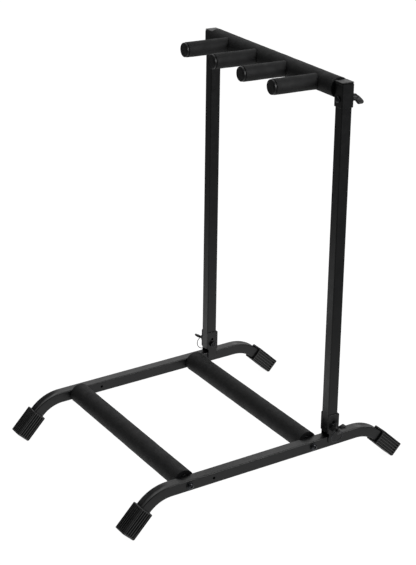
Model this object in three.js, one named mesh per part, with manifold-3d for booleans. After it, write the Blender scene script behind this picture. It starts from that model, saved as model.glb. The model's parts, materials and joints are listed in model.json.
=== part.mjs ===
// Folding rack for three guitars: a square-tube base with two foam-covered cross bars,
// two uprights that fold forward in hinge brackets, and a foam-covered yoke with four neck prongs
// that slides onto the tops of the uprights.
//
// Millimetres, +Z up, +X to the right as seen from the front, +Y to the back. The origin is on the
// floor under the middle of the base.

import * as THREE from 'three';
import { mergeVertices } from 'three/addons/utils/BufferGeometryUtils.js';
import Module from 'manifold-3d';

const wasm = await Module();
wasm.setup();

// ---------------------------------------------------------------- driving dimensions

const GAP = 0.3; // between pieces that touch
const THROUGH = 1; // how far a cutting tool runs past the face it opens

const TUBE = 20; // square tube, across the flats
const TUBE_WALL = 1.5;
const TUBE_CORNER = 1.6; // outside corner radius

const TRACK = 416; // between the centre lines of the two side frames
const RAIL_HEIGHT = 67; // floor to side-rail centre line
const FOOT_REACH = 217; // middle of the rack to where the rail and foot centre lines cross
const FOOT_DROP = THREE.MathUtils.degToRad(45);
const FOOT_LENGTH = 79; // from that crossing to the cut end of the tube
const BEND_RADIUS = 70; // on the centre line

const CAP_WIDTH = 28.5; // rubber foot, across the flats
const CAP_CORNER = 1.8;
const CAP_LENGTH = 53;
const CAP_END = 4; // thickness of its closed end

const FRONT_BAR_Y = -153;
const REAR_BAR_Y = 97;
const BAR_TUBE = 22;
const BAR_FOAM = 38;
const FOAM_SHORT = 0.5; // each end of a bar's foam stops this far inside the end of its tube
const SPARE_HOLE_Y = -106;
const SPARE_HOLE = 5; // also the diameter of the lock holes

const UPRIGHT_Y = 136; // upright centre line at side-rail height
const LEAN = THREE.MathUtils.degToRad(2.56);
const UPRIGHT_BOTTOM = 15.5; // the values from here to YOKE_RAIL run along the upright
const HINGE_RISE = 27;
const LOCK_HOLE_RISE = 37;
const BRACKET_TOP = 51.5;
const UPRIGHT_TOP = 641;
const SLEEVE_BOTTOM = 606.5;
const SLEEVE_TOP = 647;
const CLAMP_RISE = 620.5;
const YOKE_RAIL = 635.5;

const SLEEVE = 23.6; // square sleeve, across the flats
const BRACKET_PLATE = 1.8;
const BRACKET_WIDTH = TUBE + 2 * (GAP + BRACKET_PLATE);

const RAIL_TUBE = 19;
const RAIL_FOAM = 35.3;
const PRONG_COUNT = 4;
const PRONG_PITCH = 95;
const PRONG_REACH = 101; // rail centre line to the face of the prong's end cap
const PRONG_RISE = THREE.MathUtils.degToRad(0.5); // above square to the uprights
const PRONG_TUBE = 16;
const PRONG_FOAM = 27.3;
const PRONG_CAP = 26;
const PRONG_CAP_THICKNESS = 4.5;

const BOLT = 6; // shank diameter
const BOLT_HOLE = 6.8;
const WASHER = 14; // outside diameter
const HINGE_WING_TURN = { left: -62, right: 110 }; // degrees, as the screws happen to be tightened
const CLAMP_WING_TURN = 25;
const WING_REACH = 17.5; // from the screw's axis to the free edge of the one wing
const WING_HEIGHT = 18.5;
const WING_THICKNESS = 4;
const WING_CORNER = 5; // radius of the wing's outer corner
const RING_RADIUS = 11.2;
const RING_WIRE = 1.4;
const RING_RISE = 13.5; // cross-hole for the ring, above the foot of the wing head
const RING_TURN = 25; // degrees from square to the wing, so that the ring hangs straight down

// Worked out from the above.
const SIDE = TRACK / 2;
const INNER_FACE = SIDE - TUBE / 2;
const SLEEVE_INNER_FACE = SIDE - SLEEVE / 2;
const FOOT_COS = Math.cos(FOOT_DROP); // equal to its sine at 45 degrees
const SIDES = { left: -1, right: 1 };
const ROUND = 18; // sides of a round piece
const ROUND_FOAM = 28; // and of a foam sleeve

// ---------------------------------------------------------------- materials

const steel = { color: 0x1f2022, roughness: 0.42, metalness: 0.35 };
const foam = { color: 0x2b2c2e, roughness: 0.95, metalness: 0 };
const rubber = { color: 0x191a1b, roughness: 0.75, metalness: 0 };
const plastic = { color: 0x161718, roughness: 0.4, metalness: 0 };
const zinc = { color: 0x8d9094, roughness: 0.35, metalness: 0.9 };

// ---------------------------------------------------------------- geometry helpers

function toSolid(geometry) {
  const bare = geometry.index ? geometry.toNonIndexed() : geometry.clone();
  bare.deleteAttribute('normal');
  bare.deleteAttribute('uv');
  const merged = mergeVertices(bare, 1e-4);
  return new wasm.Manifold(
    new wasm.Mesh({
      numProp: 3,
      vertProperties: new Float32Array(merged.attributes.position.array),
      triVerts: new Uint32Array(merged.index.array),
    }),
  );
}

function toGeometry(solid) {
  const mesh = solid.getMesh();
  const geometry = new THREE.BufferGeometry();
  geometry.setAttribute('position', new THREE.BufferAttribute(mesh.vertProperties, 3));
  geometry.setIndex(new THREE.BufferAttribute(mesh.triVerts, 1));
  const flat = geometry.toNonIndexed();
  flat.computeVertexNormals();
  return flat;
}

function cut(geometry, ...tools) {
  return toGeometry(tools.reduce((solid, tool) => solid.subtract(toSolid(tool)), toSolid(geometry)));
}

function join(geometry, ...others) {
  return toGeometry(others.reduce((solid, other) => solid.add(toSolid(other)), toSolid(geometry)));
}

// A cylinder along X, Y or Z with its middle at the given point.
function rod(axis, diameter, length, at = [0, 0, 0], segments = ROUND) {
  const geometry = new THREE.CylinderGeometry(diameter / 2, diameter / 2, length, segments);
  if (axis === 'x') {
    geometry.rotateZ(-Math.PI / 2);
  }
  if (axis === 'z') {
    geometry.rotateX(Math.PI / 2);
  }
  return geometry.translate(...at);
}

function block(width, depth, height, at = [0, 0, 0]) {
  return new THREE.BoxGeometry(width, depth, height).translate(...at);
}

// A profile of [radius, height] points turned about Z.
function turned(profile, segments = ROUND) {
  const points = profile.map(([radius, height]) => new THREE.Vector2(radius, height));
  return new THREE.LatheGeometry(points, segments).rotateX(Math.PI / 2);
}

function roundedSquare(width, radius) {
  const half = width / 2;
  const inner = half - radius;
  const shape = new THREE.Shape();
  shape.moveTo(-inner, -half);
  shape.lineTo(inner, -half);
  shape.absarc(inner, -inner, radius, -Math.PI / 2, 0, false);
  shape.lineTo(half, inner);
  shape.absarc(inner, inner, radius, 0, Math.PI / 2, false);
  shape.lineTo(-inner, half);
  shape.absarc(-inner, inner, radius, Math.PI / 2, Math.PI, false);
  shape.lineTo(-half, -inner);
  shape.absarc(-inner, -inner, radius, Math.PI, 1.5 * Math.PI, false);
  return shape;
}

// Straight square tube or bar along Z, from one height to another.
function squareBar(width, radius, from, to) {
  const options = { depth: to - from, bevelEnabled: false, curveSegments: 1 };
  return new THREE.ExtrudeGeometry(roundedSquare(width, radius), options).translate(0, 0, from);
}

function squareTube(width, wall, radius, from, to) {
  const boreRadius = Math.max(radius - wall, 0.4);
  const bore = squareBar(width - 2 * wall, boreRadius, from - THROUGH, to + THROUGH);
  return cut(squareBar(width, radius, from, to), bore);
}

function roundTube(axis, outer, inner, length, at = [0, 0, 0], segments = ROUND) {
  const bore = rod(axis, inner, length + 2 * THROUGH, at, segments);
  return cut(rod(axis, outer, length, at, segments), bore);
}

function piece(name, geometry, look) {
  const mesh = new THREE.Mesh(geometry, new THREE.MeshStandardMaterial(look));
  mesh.name = name;
  return mesh;
}

// ---------------------------------------------------------------- side frames

// Outline, in the YZ plane, of a band that follows the side frame's centre line at the given half width.
function frameBand(half, footLength) {
  const tangent = BEND_RADIUS * Math.tan(FOOT_DROP / 2);
  const bendY = FOOT_REACH - tangent;
  const centreZ = RAIL_HEIGHT - BEND_RADIUS;
  const footY = FOOT_REACH + footLength * FOOT_COS;
  const footZ = RAIL_HEIGHT - footLength * FOOT_COS;
  const side = half * FOOT_COS;
  const top = Math.PI / 2;
  const turn = top - FOOT_DROP;
  const band = new THREE.Shape();
  band.moveTo(-bendY, RAIL_HEIGHT + half);
  band.lineTo(bendY, RAIL_HEIGHT + half);
  band.absarc(bendY, centreZ, BEND_RADIUS + half, top, turn, true);
  band.lineTo(footY + side, footZ + side);
  band.lineTo(footY - side, footZ - side);
  band.absarc(bendY, centreZ, BEND_RADIUS - half, turn, top, false);
  band.lineTo(-bendY, RAIL_HEIGHT - half);
  band.absarc(-bendY, centreZ, BEND_RADIUS - half, top, Math.PI - turn, false);
  band.lineTo(-footY + side, footZ - side);
  band.lineTo(-footY - side, footZ + side);
  band.absarc(-bendY, centreZ, BEND_RADIUS + half, Math.PI - turn, top, true);
  return band;
}

// The band's own plane is XY, so it is stood up with its first axis along Y and its depth along X.
function standUp(geometry) {
  const basis = new THREE.Matrix4().makeBasis(
    new THREE.Vector3(0, 1, 0),
    new THREE.Vector3(0, 0, 1),
    new THREE.Vector3(1, 0, 0),
  );
  return geometry.applyMatrix4(basis);
}

function sideRail(name, side) {
  const bevel = TUBE_CORNER;
  const outer = new THREE.ExtrudeGeometry(frameBand(TUBE / 2 - bevel, FOOT_LENGTH - bevel), {
    depth: TUBE - 2 * bevel,
    bevelThickness: bevel,
    bevelSize: bevel,
    bevelSegments: 1,
    curveSegments: 4,
  }).translate(0, 0, bevel - TUBE / 2);
  const bore = TUBE - 2 * TUBE_WALL;
  const inner = new THREE.ExtrudeGeometry(frameBand(bore / 2, FOOT_LENGTH + THROUGH), {
    depth: bore,
    bevelEnabled: false,
    curveSegments: 4,
  }).translate(0, 0, -bore / 2);
  const holes = [
    rod('x', BOLT_HOLE, 2 * TUBE, [0, FRONT_BAR_Y, RAIL_HEIGHT]),
    rod('x', BOLT_HOLE, 2 * TUBE, [0, REAR_BAR_Y, RAIL_HEIGHT]),
    rod('x', SPARE_HOLE, 2 * TUBE, [0, SPARE_HOLE_Y, RAIL_HEIGHT]),
  ];
  const mesh = piece(name, cut(standUp(outer), standUp(inner), ...holes), steel);
  mesh.position.x = side * SIDE;
  return mesh;
}

// A rubber boot along Z: open at z = 0, closed at z = CAP_LENGTH.
function footCap(name, side, end) {
  const pocket = squareBar(TUBE + 2 * GAP, TUBE_CORNER, -THROUGH, CAP_LENGTH - CAP_END);
  const body = cut(squareBar(CAP_WIDTH, CAP_CORNER, 0, CAP_LENGTH), pocket);
  const reach = FOOT_LENGTH + CAP_END + GAP - CAP_LENGTH;
  const matrix = new THREE.Matrix4()
    .makeTranslation(side * SIDE, end * FOOT_REACH, RAIL_HEIGHT)
    .multiply(new THREE.Matrix4().makeRotationX(-end * (Math.PI - FOOT_DROP)))
    .multiply(new THREE.Matrix4().makeTranslation(0, 0, reach));
  body.applyMatrix4(matrix);
  const floorDepth = 100;
  const floor = block(4 * TRACK, 4 * TRACK, floorDepth, [0, 0, -floorDepth / 2]);
  return piece(name, cut(body, floor), rubber);
}

// ---------------------------------------------------------------- cross bars

function crossBar(name, y) {
  const group = new THREE.Group();
  const length = 2 * (INNER_FACE - GAP);
  const insertLength = 14;
  const foamLength = length - 2 * FOAM_SHORT;
  const bore = BAR_TUBE - 2 * TUBE_WALL;
  group.add(piece(`${name}_tube`, roundTube('x', BAR_TUBE, bore, length), steel));
  const foamBore = BAR_TUBE + 2 * GAP;
  const sleeve = roundTube('x', BAR_FOAM, foamBore, foamLength, [0, 0, 0], ROUND_FOAM);
  group.add(piece(`${name}_foam`, sleeve, foam));
  for (const [sideName, side] of Object.entries(SIDES)) {
    const insertAt = [side * (length / 2 - insertLength / 2), 0, 0];
    const insert = roundTube('x', bore - 2 * GAP, BOLT + 2 * GAP, insertLength, insertAt);
    group.add(piece(`${name}_${sideName}_insert`, insert, zinc));
    group.add(barBolt(`${name}_${sideName}`, side));
  }
  group.position.set(0, y, RAIL_HEIGHT);
  return group;
}

// A domed bolt and its washer, outside the side rail and reaching into the bar's threaded insert.
function barBolt(name, side) {
  const group = new THREE.Group();
  const washerFace = SIDE + TUBE / 2 + GAP;
  const washer = 1.4;
  const headFace = washerFace + washer + GAP;
  const headRadius = 5.6;
  const headHeight = 3.8;
  const hexSocket = 4;
  const chamfer = 0.7;
  const tip = INNER_FACE - 12;
  const profile = [
    [0, tip],
    [BOLT / 2 - chamfer, tip],
    [BOLT / 2, tip + chamfer],
    [BOLT / 2, headFace],
    [headRadius, headFace],
    [headRadius, headFace + headHeight * 0.3],
    [headRadius * 0.86, headFace + headHeight * 0.72],
    [headRadius * 0.5, headFace + headHeight * 0.96],
    [0, headFace + headHeight],
  ];
  const socket = rod('z', hexSocket, headHeight, [0, 0, headFace + headHeight], 6);
  group.add(piece(`${name}_bolt`, cut(turned(profile), socket), plastic));
  const washerAt = [0, 0, washerFace + washer / 2];
  const washerRing = roundTube('z', WASHER, BOLT + 2 * GAP, washer, washerAt);
  group.add(piece(`${name}_washer`, washerRing, plastic));
  group.rotation.y = side * Math.PI / 2;
  return group;
}

// ---------------------------------------------------------------- hinge brackets

// Frame of the uprights: Z runs up along them from side-rail height, +Y is square to them at the back.
function leaningFrame() {
  const group = new THREE.Group();
  group.position.set(0, UPRIGHT_Y, RAIL_HEIGHT);
  group.rotation.x = -LEAN;
  return group;
}

// Outline of one cheek in the YZ plane: wide beside the upright, stepped back where it lies on the rail.
function cheekShape() {
  const front = -TUBE / 2;
  const back = TUBE / 2 + GAP + BRACKET_PLATE;
  const step = 2;
  const stepRise = 17;
  const corner = 4;
  const foot = -2;
  const shape = new THREE.Shape();
  shape.moveTo(front + step, foot);
  shape.lineTo(back - step, foot);
  shape.lineTo(back - step, stepRise - corner);
  shape.lineTo(back, stepRise);
  shape.lineTo(back, BRACKET_TOP);
  shape.lineTo(front, BRACKET_TOP);
  shape.lineTo(front, stepRise + corner);
  shape.absarc(front + corner, stepRise + corner, corner, Math.PI, 1.25 * Math.PI, false);
  shape.lineTo(front + step, stepRise - corner / 2);
  return shape;
}

// Two cheeks astride the rail and the upright's foot, joined behind the upright by its back stop.
function hingeBracket(name, side) {
  const half = BRACKET_WIDTH / 2;
  const back = TUBE / 2 + GAP;
  const webBottom = HINGE_RISE + 12;
  const webHeight = BRACKET_TOP - webBottom;
  const cheek = () => {
    const plate = new THREE.ExtrudeGeometry(cheekShape(), {
      depth: BRACKET_PLATE,
      bevelEnabled: false,
      curveSegments: 2,
    });
    return standUp(plate);
  };
  const webAt = [0, back + BRACKET_PLATE / 2, webBottom + webHeight / 2];
  const web = block(BRACKET_WIDTH, BRACKET_PLATE, webHeight, webAt);
  const cheeks = [cheek().translate(-half, 0, 0), cheek().translate(half - BRACKET_PLATE, 0, 0)];
  const body = join(cheeks[0], cheeks[1], web);
  const holes = [
    rod('x', BOLT_HOLE, 2 * BRACKET_WIDTH, [0, 0, HINGE_RISE]),
    rod('x', SPARE_HOLE, 2 * BRACKET_WIDTH, [0, 0, LOCK_HOLE_RISE]),
  ];
  const mesh = piece(name, cut(body, ...holes), steel);
  mesh.position.x = side * SIDE;
  return mesh;
}

// ---------------------------------------------------------------- wing screws, wing nuts and their bolts

// The wing's outline in the XZ plane, with the screw's axis along Z. Its top edge is drawn towards the
// point [pullX, pullZ]: full over a nut, hollow on a screw to leave room for the ring.
function wingShape([pullX, pullZ], heelZ) {
  const rootZ = 1.5;
  const footZ = 5;
  const toe = 2;
  const heelX = 6.4;
  const shape = new THREE.Shape();
  shape.moveTo(-heelX, rootZ);
  shape.lineTo(heelX, rootZ);
  shape.lineTo(heelX + 1.5, footZ);
  shape.absarc(WING_REACH - toe, footZ + toe, toe, -Math.PI / 2, 0, false);
  shape.absarc(WING_REACH - WING_CORNER, WING_HEIGHT - WING_CORNER, WING_CORNER, 0, Math.PI / 2, false);
  shape.quadraticCurveTo(pullX, pullZ, -heelX, heelZ);
  return shape;
}

// A moulded one-wing head on Z, standing on z = 0. A screw has a shank below and a boss with a
// cross-hole for its ring on top; a nut has a bore.
function wingHead({ bore = 0, shank = 0 }) {
  const bevel = 1;
  const wing = new THREE.ExtrudeGeometry(shank ? wingShape([4, 0], 8) : wingShape([-3, 19], 12), {
    depth: WING_THICKNESS - 2 * bevel,
    bevelThickness: bevel,
    bevelSize: bevel,
    bevelOffset: -bevel,
    bevelSegments: 1,
    curveSegments: 3,
  });
  wing.translate(0, 0, bevel - WING_THICKNESS / 2);
  wing.rotateX(Math.PI / 2);
  const hubRadius = 6.6;
  const hubHeight = shank ? 9 : 12.5;
  const hub = turned([
    [0, 0],
    [hubRadius, 0],
    [hubRadius, 2],
    [hubRadius - 1, hubHeight - 1.6],
    [hubRadius - 2, hubHeight],
    [0, hubHeight],
  ]);
  const head = join(hub, wing);
  if (!shank) {
    const boreDepth = 10;
    return cut(head, rod('z', bore, 2 * boreDepth, [0, 0, 0]));
  }
  const boss = 6.6; // diameter of the post the ring goes through
  const bossRoot = 3;
  const bossRod = rod('z', boss, RING_RISE, [0, 0, RING_RISE / 2 + bossRoot]);
  const shankRoot = 1;
  const shankRod = rod('z', BOLT, shank + shankRoot, [0, 0, (shankRoot - shank) / 2]);
  const ringHole = rod('x', RING_WIRE + 6 * GAP, 2 * boss, [0, 0, RING_RISE], 8);
  ringHole.rotateZ(-THREE.MathUtils.degToRad(RING_TURN));
  return cut(join(head, bossRod, shankRod), ringHole);
}

// Hexagonal nut on Z, standing on z = 0.
function hexNut(acrossFlats, height, bore) {
  const corners = acrossFlats / Math.cos(Math.PI / 6);
  const at = [0, 0, height / 2];
  return cut(rod('z', corners, height, at, 6), rod('z', bore, height + 2 * THROUGH, at));
}

// Screw that is both the pivot of one upright and the clamp that holds it, with its nut and washer.
function hingeHardware(sideName, side, turn) {
  const group = new THREE.Group();
  const half = BRACKET_WIDTH / 2;
  const washer = 1.2;
  const washerFace = half + GAP;
  const headFace = washerFace + washer + GAP;
  const nutFace = half + GAP;
  const nutHeight = 5;
  const nutFlats = 10;
  const shank = headFace + nutFace + nutHeight;
  const screw = piece(`${sideName}_hinge_wing_screw`, wingHead({ shank }), plastic);
  screw.position.z = headFace;
  screw.rotation.z = turn;
  group.add(screw);
  const washerAt = [0, 0, washerFace + washer / 2];
  const washerRing = roundTube('z', WASHER, BOLT + 2 * GAP, washer, washerAt);
  group.add(piece(`${sideName}_hinge_washer`, washerRing, zinc));
  const nut = piece(`${sideName}_hinge_nut`, hexNut(nutFlats, nutHeight, BOLT + 2 * GAP), zinc);
  nut.position.z = -nutFace - nutHeight;
  group.add(nut);
  group.add(splitRing(`${sideName}_hinge_ring`, headFace, turn));
  group.position.set(side * SIDE, 0, HINGE_RISE);
  group.rotation.y = side * Math.PI / 2;
  return group;
}

// Wire ring through the boss of a wing screw, hanging beside the wing and leaning inwards.
function splitRing(name, headFace, turn) {
  const lean = THREE.MathUtils.degToRad(-10);
  const mesh = piece(name, new THREE.TorusGeometry(RING_RADIUS, RING_WIRE / 2, 6, ROUND_FOAM), zinc);
  mesh.rotation.x = -lean;
  mesh.position.set(0, -RING_RADIUS * Math.cos(lean), RING_RISE + RING_RADIUS * Math.sin(lean));
  const group = new THREE.Group();
  group.add(mesh);
  group.position.z = headFace;
  group.rotation.z = turn - THREE.MathUtils.degToRad(RING_TURN);
  return group;
}

// ---------------------------------------------------------------- uprights

function upright(name, side) {
  const tube = squareTube(TUBE, TUBE_WALL, TUBE_CORNER, UPRIGHT_BOTTOM, UPRIGHT_TOP);
  const slotLength = UPRIGHT_TOP - CLAMP_RISE + THROUGH;
  const slotAt = [0, 0, CLAMP_RISE + slotLength / 2];
  const holes = [
    rod('x', BOLT_HOLE, 2 * TUBE, [0, 0, HINGE_RISE]),
    rod('x', SPARE_HOLE, 2 * TUBE, [0, 0, LOCK_HOLE_RISE]),
    rod('y', BOLT_HOLE, 2 * TUBE, [0, 0, CLAMP_RISE]),
    block(BOLT_HOLE, 2 * TUBE, slotLength, slotAt),
  ];
  const mesh = piece(name, cut(tube, ...holes), steel);
  mesh.position.x = side * SIDE;
  return mesh;
}

// ---------------------------------------------------------------- yoke

function topSleeve(name, side) {
  const wall = (SLEEVE - TUBE) / 2 - GAP;
  const tube = squareTube(SLEEVE, wall, TUBE_CORNER + wall / 2, SLEEVE_BOTTOM, SLEEVE_TOP);
  const boltHole = rod('y', BOLT_HOLE, 2 * SLEEVE, [0, 0, CLAMP_RISE]);
  const mesh = piece(name, cut(tube, boltHole), steel);
  mesh.position.x = side * SIDE;
  return mesh;
}

// Moulded plug that closes the top of a sleeve: a low pyramid on a flange, with a stem in the bore.
function sleeveCap(name, side) {
  const flangeFrom = SLEEVE_TOP + GAP;
  const bevel = 1;
  const corner = 1.2;
  const flange = new THREE.ExtrudeGeometry(roundedSquare(SLEEVE - 2 * bevel, corner), {
    depth: 0.6,
    bevelThickness: bevel,
    bevelSize: bevel,
    bevelSegments: 1,
    curveSegments: 1,
  }).translate(0, 0, flangeFrom + bevel);
  const stem = squareBar(TUBE - GAP, corner, UPRIGHT_TOP + 2 * GAP, flangeFrom + bevel);
  const mesh = piece(name, join(flange, stem), plastic);
  mesh.position.x = side * SIDE;
  return mesh;
}

// Bolt through sleeve and upright, head at the front and wing nut at the back.
function clampHardware(sideName, side, turn) {
  const group = new THREE.Group();
  const face = SLEEVE / 2 + GAP;
  const headHeight = 3.6;
  const headRadius = 6;
  const wingAt = face + GAP;
  const tip = wingAt + 9;
  const profile = [
    [0, -tip],
    [BOLT / 2, -tip],
    [BOLT / 2, face],
    [headRadius, face],
    [headRadius, face + 1],
    [headRadius * 0.8, face + headHeight * 0.75],
    [headRadius * 0.4, face + headHeight],
    [0, face + headHeight],
  ];
  const bolt = piece(`${sideName}_clamp_bolt`, turned(profile), zinc);
  group.add(bolt);
  const nut = piece(`${sideName}_clamp_wing_nut`, wingHead({ bore: BOLT + 2 * GAP }), plastic);
  nut.position.z = -wingAt;
  nut.rotation.set(Math.PI, 0, turn);
  group.add(nut);
  group.position.set(side * SIDE, 0, CLAMP_RISE);
  group.rotation.x = Math.PI / 2;
  return group;
}

function prongFrame(index) {
  const group = new THREE.Group();
  group.position.set((index - (PRONG_COUNT - 1) / 2) * PRONG_PITCH, 0, YOKE_RAIL);
  group.rotation.x = Math.PI / 2 - PRONG_RISE;
  return group;
}

// One prong along Z: a tube standing on the rail, a foam sleeve and a push-in end cap.
function prong(number) {
  const group = prongFrame(number - 1);
  const capFace = PRONG_REACH - PRONG_CAP_THICKNESS;
  const railSurface = rod('x', RAIL_TUBE + 2 * GAP, 3 * RAIL_TUBE);
  const bore = PRONG_TUBE - 2 * TUBE_WALL;
  const tubeLength = capFace - GAP;
  const tube = roundTube('z', PRONG_TUBE, bore, tubeLength, [0, 0, tubeLength / 2]);
  group.add(piece(`prong_${number}_tube`, cut(tube, railSurface), steel));
  const foamSurface = rod('x', RAIL_FOAM + 2 * GAP, 3 * RAIL_FOAM, [0, 0, 0], ROUND_FOAM);
  const foamBore = PRONG_TUBE + 2 * GAP;
  const sleeve = roundTube('z', PRONG_FOAM, foamBore, tubeLength, [0, 0, tubeLength / 2], ROUND_FOAM);
  group.add(piece(`prong_${number}_foam`, cut(sleeve, foamSurface), foam));
  const radius = PRONG_CAP / 2;
  const edge = 1.8;
  const stem = bore / 2 - GAP;
  const stemLength = 12;
  const cap = turned([
    [0, capFace - stemLength],
    [stem - 1, capFace - stemLength],
    [stem, capFace - stemLength + 2],
    [stem, capFace],
    [radius, capFace],
    [radius, PRONG_REACH - edge],
    [radius - edge, PRONG_REACH],
    [0, PRONG_REACH],
  ]);
  group.add(piece(`prong_${number}_cap`, cap, plastic));
  return group;
}

function yokeRail() {
  const group = new THREE.Group();
  const length = 2 * (SLEEVE_INNER_FACE - GAP);
  const at = [0, 0, YOKE_RAIL];
  const tube = roundTube('x', RAIL_TUBE, RAIL_TUBE - 2 * TUBE_WALL, length, at);
  group.add(piece('yoke_rail_tube', tube, steel));
  const foamBore = RAIL_TUBE + 2 * GAP;
  const foamLength = length - 4 * FOAM_SHORT;
  const sleeve = roundTube('x', RAIL_FOAM, foamBore, foamLength, at, ROUND_FOAM);
  const holes = [];
  for (let index = 0; index < PRONG_COUNT; index += 1) {
    const frame = prongFrame(index);
    frame.updateMatrix();
    holes.push(rod('z', PRONG_TUBE + 2 * GAP, RAIL_FOAM, [0, 0, RAIL_FOAM / 2]).applyMatrix4(frame.matrix));
  }
  group.add(piece('yoke_rail_foam', cut(sleeve, ...holes), foam));
  return group;
}

// ---------------------------------------------------------------- assembly

const rack = new THREE.Group();

const base = new THREE.Group();
const brackets = leaningFrame();
const ends = { front: -1, rear: 1 };
for (const [sideName, side] of Object.entries(SIDES)) {
  base.add(sideRail(`${sideName}_side_rail`, side));
  for (const [endName, end] of Object.entries(ends)) {
    base.add(footCap(`${endName}_${sideName}_foot_cap`, side, end));
  }
  brackets.add(hingeBracket(`${sideName}_hinge_bracket`, side));
  brackets.add(hingeHardware(sideName, side, THREE.MathUtils.degToRad(HINGE_WING_TURN[sideName])));
}
base.add(crossBar('front_bar', FRONT_BAR_Y), crossBar('rear_bar', REAR_BAR_Y), brackets);

const uprights = leaningFrame();
const yoke = new THREE.Group();
for (const [sideName, side] of Object.entries(SIDES)) {
  uprights.add(upright(`${sideName}_upright`, side));
  yoke.add(topSleeve(`${sideName}_yoke_sleeve`, side));
  yoke.add(sleeveCap(`${sideName}_yoke_sleeve_cap`, side));
  yoke.add(clampHardware(sideName, side, THREE.MathUtils.degToRad(side * CLAMP_WING_TURN)));
}
yoke.add(yokeRail());
for (let number = 1; number <= PRONG_COUNT; number += 1) {
  yoke.add(prong(number));
}
uprights.add(yoke);

rack.add(base, uprights);

export default rack;
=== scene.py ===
"""Looks of the folding guitar rack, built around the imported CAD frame.

Lengths are in millimetres until place() turns them into Blender's metres. The axes are the CAD's: +Z up,
-Y to the front, +X to the right, with the origin on the floor under the middle of the base.
"""

import json
import math

import bmesh
import bpy
from mathutils import Matrix, Quaternion, Vector, noise


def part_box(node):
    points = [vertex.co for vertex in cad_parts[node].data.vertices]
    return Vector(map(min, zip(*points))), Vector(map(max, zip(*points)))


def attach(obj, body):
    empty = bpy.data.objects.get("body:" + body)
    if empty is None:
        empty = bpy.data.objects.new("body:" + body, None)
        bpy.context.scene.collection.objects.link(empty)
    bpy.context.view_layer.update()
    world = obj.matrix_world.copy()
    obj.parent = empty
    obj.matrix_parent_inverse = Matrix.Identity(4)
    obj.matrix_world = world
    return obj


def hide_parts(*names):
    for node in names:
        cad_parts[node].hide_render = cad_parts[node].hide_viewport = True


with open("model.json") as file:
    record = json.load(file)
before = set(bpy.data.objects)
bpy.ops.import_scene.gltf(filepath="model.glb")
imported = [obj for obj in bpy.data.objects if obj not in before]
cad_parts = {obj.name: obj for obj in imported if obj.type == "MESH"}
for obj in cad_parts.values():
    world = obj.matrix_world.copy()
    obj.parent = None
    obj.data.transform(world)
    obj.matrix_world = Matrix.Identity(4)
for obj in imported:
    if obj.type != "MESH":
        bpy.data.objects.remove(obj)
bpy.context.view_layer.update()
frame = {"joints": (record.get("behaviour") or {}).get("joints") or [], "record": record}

MM = 0.001
GAP = 0.3

# ---------------- the design's own dimensions

TUBE = 20.0
TUBE_WALL = 1.5
TUBE_CORNER = 1.7
FOOT_REACH = 217.0
FOOT_DROP = math.radians(45)
FOOT_LENGTH = 79.0
BEND_RADIUS = 70.0
BEND_CREASE = 2.9  # how deep the outer face of a bend sinks
BEND_SWELL = 0.45

CAP_WIDTH = 28.5
CAP_CORNER = 1.8
CAP_RIBS = 5
CAP_RIB_DEPTH = 2.2
CAP_GROOVE_SLOPE = 4.0  # steepness of a rib's flanks
CAP_GROOVE_START = 1.3  # a larger value widens the ribs' flat tops
CAP_LENGTH = 53.0
CAP_END = 4.0

HINGE_RISE = 27.0  # from here to YOKE_RAIL the values run along the upright, from side-rail height
LOCK_HOLE_RISE = 37.0
BRACKET_TOP = 51.5
UPRIGHT_BOTTOM = 15.5
UPRIGHT_TOP = 641.0
SLEEVE_BOTTOM = 606.5
SLEEVE_TOP = 647.0
CLAMP_RISE = 620.5
YOKE_RAIL = 635.5

SLEEVE = 23.6
BRACKET_PLATE = 1.8
BRACKET_WIDTH = TUBE + 2 * (GAP + BRACKET_PLATE)
BOLT = 6.0
BOLT_HOLE = 6.8
SPARE_HOLE = 5.0
WASHER = 14.0

PRONG_COUNT = 4
PRONG_PITCH = 95.0
PRONG_REACH = 101.0
PRONG_RISE = math.radians(0.5)
PRONG_TUBE = 16.0
PRONG_FOAM = 27.3
PRONG_CAP = 26.0
PRONG_CAP_THICKNESS = 4.5
RAIL_TUBE = 19.0
RAIL_FOAM = 35.3
BAR_TUBE = 22.0
BAR_FOAM = 38.0
FOAM_SWELL = 0.35  # how far a foam end swells where it is pressed home
DENT_DEPTH = 0.55

HINGE_WING_TURN = {"left": -62.0, "right": 110.0}
CLAMP_WING_TURN = 25.0
WING_REACH = 17.5
WING_HEIGHT = 18.5
WING_THICKNESS = 4.0
WING_CORNER = 5.0
WING_HEEL = 6.4  # half the width of the wing's foot
WING_ROOT = 1.5
WING_FOOT = 5.0
WING_SHIN = 7.9  # half the width where the wing leaves the hub
WING_TOE = 2.0
WING_ROUND = 1.4
PAD_RADIUS = 4.4  # thumb pad on the wing's faces
PAD_RISE = 1.0
PAD_INSET = (6.4, 7.6)
HUB_RADII = (6.6, 5.6, 4.4)  # foot, shoulder and crown
# the point the wing's top edge bends towards, the height of its heel, the height of the hub
SCREW_HEAD = ((4, 0), 8.0, 9.0)
NUT_HEAD = ((-3, 19), 12.0, 12.5)
NUT_BORE_DEPTH = 10.0
POST_RADIUS = 3.3
POST_ROOT = 5.0
RING_RADIUS = 11.2
RING_WIRE = 1.4
RING_PLAY = 1.8
RING_RISE = 13.5
RING_TURN = 25.0
RING_LEAN = math.radians(-10)

SIDES = {"left": -1, "right": 1}
ENDS = {"front": -1, "rear": 1}

# ---------------- what the frame says

record = frame["record"]
joints = {joint["name"]: joint for joint in frame["joints"]}
slot_of = {part["node"]: part["material_slot"] for part in record["subparts"]}
body_of = {node: body for body, nodes in record["behaviour"]["bodies"].items() for node in nodes}


def centre_mm(node):
    """Middle of a CAD node's box, in millimetres."""
    low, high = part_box(node)
    return (low + high) / 2 / MM


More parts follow.
